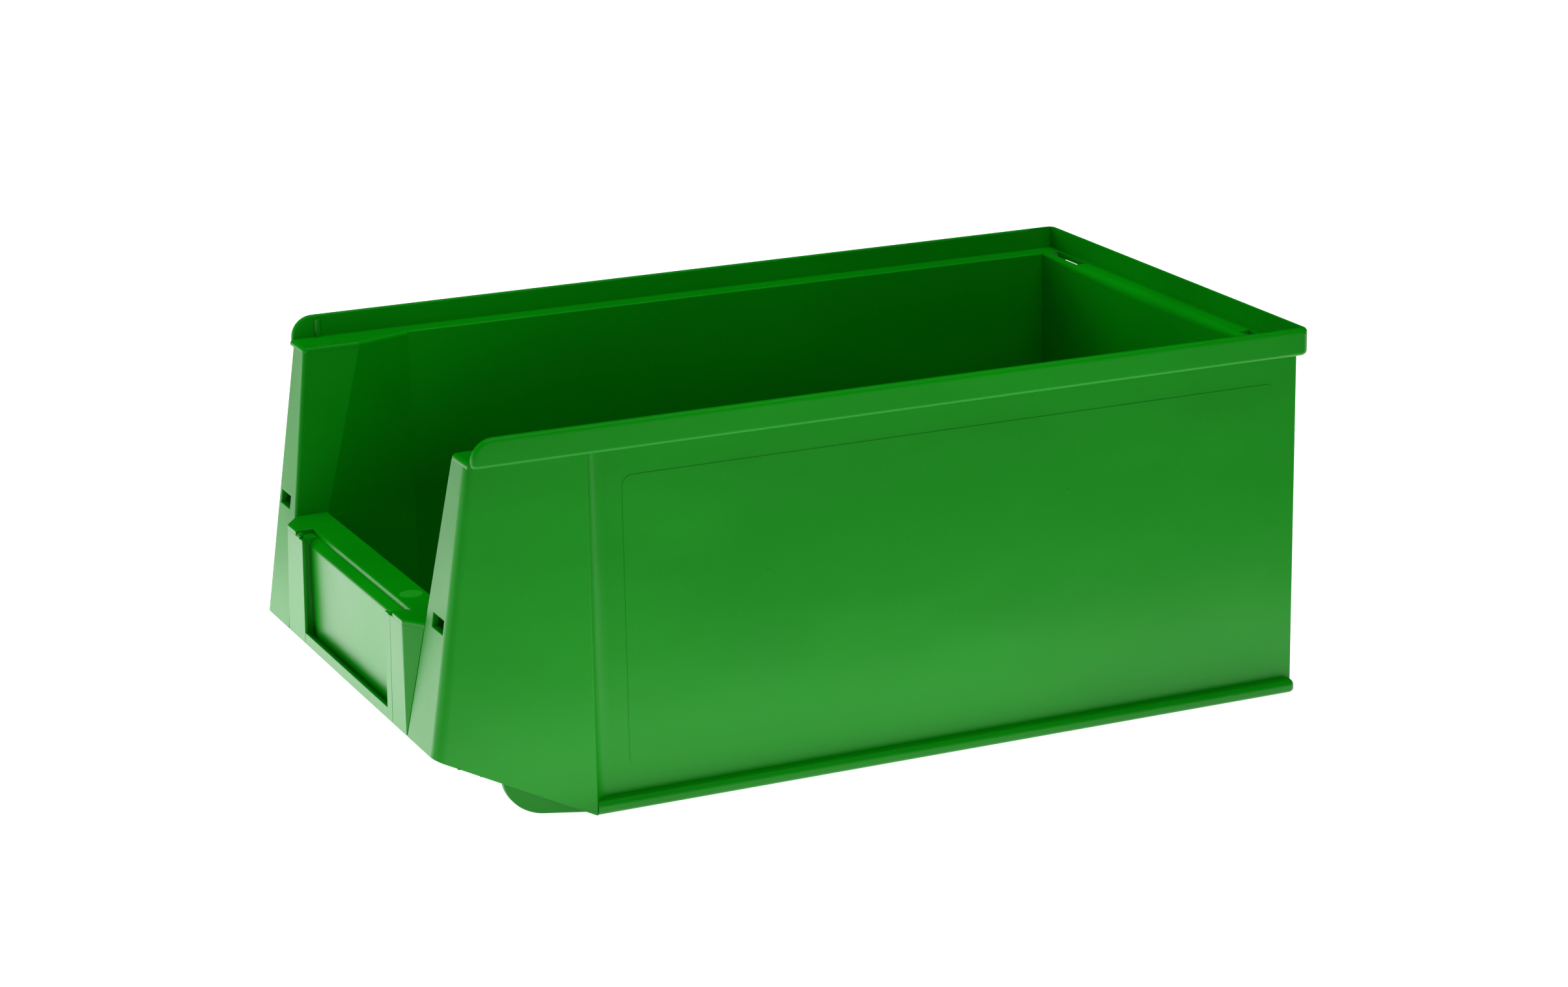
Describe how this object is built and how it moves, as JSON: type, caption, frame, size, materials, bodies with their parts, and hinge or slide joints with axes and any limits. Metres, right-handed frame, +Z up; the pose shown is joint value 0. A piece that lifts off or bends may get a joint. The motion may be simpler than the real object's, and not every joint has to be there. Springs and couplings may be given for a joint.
{
  "type": "stackable storage bin",
  "caption": "Open-fronted stackable storage bin with leaning front posts, a low grip lip over a label pocket, a raised stacking rim and hanging slots in the rear ledge.",
  "frame": {"origin": "middle of the bin's outline, on the surface it stands on", "axes": "+Z up, -Y towards the open front, +X to the right-hand side seen from the front"},
  "size_m": [0.202, 0.35, 0.145],
  "materials": {
    "green_polypropylene": "satin injection-moulded polypropylene"
  },
  "bodies": {
    "root": {"floor_panel": "green_polypropylene", "front_ramp": "green_polypropylene", "rear_wall": "green_polypropylene", "rear_grip_edge": "green_polypropylene", "rear_base_flange": "green_polypropylene", "rear_ledge": "green_polypropylene", "rear_rim": "green_polypropylene", "front_inner_wall": "green_polypropylene", "grip_lip": "green_polypropylene", "label_panel": "green_polypropylene", "label_frame_bottom": "green_polypropylene", "front_rib_1": "green_polypropylene", "front_rib_2": "green_polypropylene", "front_rib_3": "green_polypropylene", "right_side_wall": "green_polypropylene", "right_base_flange": "green_polypropylene", "right_ledge": "green_polypropylene", "right_rim": "green_polypropylene", "right_post_cap": "green_polypropylene", "right_wing": "green_polypropylene", "right_post_face": "green_polypropylene", "right_post_return": "green_polypropylene", "right_inner_plate": "green_polypropylene", "right_ramp_cheek": "green_polypropylene", "right_stacking_foot": "green_polypropylene", "right_label_column": "green_polypropylene", "left_side_wall": "green_polypropylene", "left_base_flange": "green_polypropylene", "left_ledge": "green_polypropylene", "left_rim": "green_polypropylene", "left_post_cap": "green_polypropylene", "left_wing": "green_polypropylene", "left_post_face": "green_polypropylene", "left_post_return": "green_polypropylene", "left_inner_plate": "green_polypropylene", "left_ramp_cheek": "green_polypropylene", "left_stacking_foot": "green_polypropylene", "left_label_column": "green_polypropylene"}
  },
  "joints": []
}
